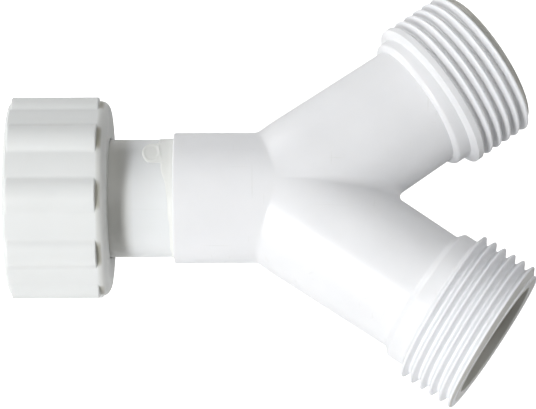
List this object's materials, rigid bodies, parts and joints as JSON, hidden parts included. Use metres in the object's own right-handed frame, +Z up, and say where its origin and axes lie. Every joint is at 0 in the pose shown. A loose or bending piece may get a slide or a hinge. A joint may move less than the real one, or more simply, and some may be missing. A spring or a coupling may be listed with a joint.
{
  "type": "hose splitter",
  "caption": "Y-shaped garden hose splitter: a ribbed swivel nut with a washer on the inlet and two branches with male hose threads.",
  "frame": {"origin": "under the middle of the part, at the height of its lowest point when it lies flat", "axes": "+X along the inlet from the nut towards the fork, +Y towards the left branch, +Z up from the plane of the two branches"},
  "size_m": [0.0859, 0.0699, 0.0329],
  "materials": {
    "body_plastic": "white injection-moulded plastic, satin gloss",
    "nut_plastic": "white injection-moulded plastic, a little duller than the body",
    "tube_plastic": "white pipe plastic, satin gloss",
    "cement": "dried clear cement, glossy",
    "washer_rubber": "black rubber, dull"
  },
  "bodies": {
    "fixed": {"y_body": "body_plastic", "tailpiece": "tube_plastic", "cement_bead": "cement", "hose_washer": "washer_rubber"},
    "nut": {"swivel_nut": "nut_plastic"}
  },
  "joints": [
    {"name": "nut_spin", "type": "hinge", "parent": "fixed", "child": "nut", "pos_m": [-0.02639, 0, 0.01647], "axis": [1, 0, 0], "continuous": true}
  ]
}
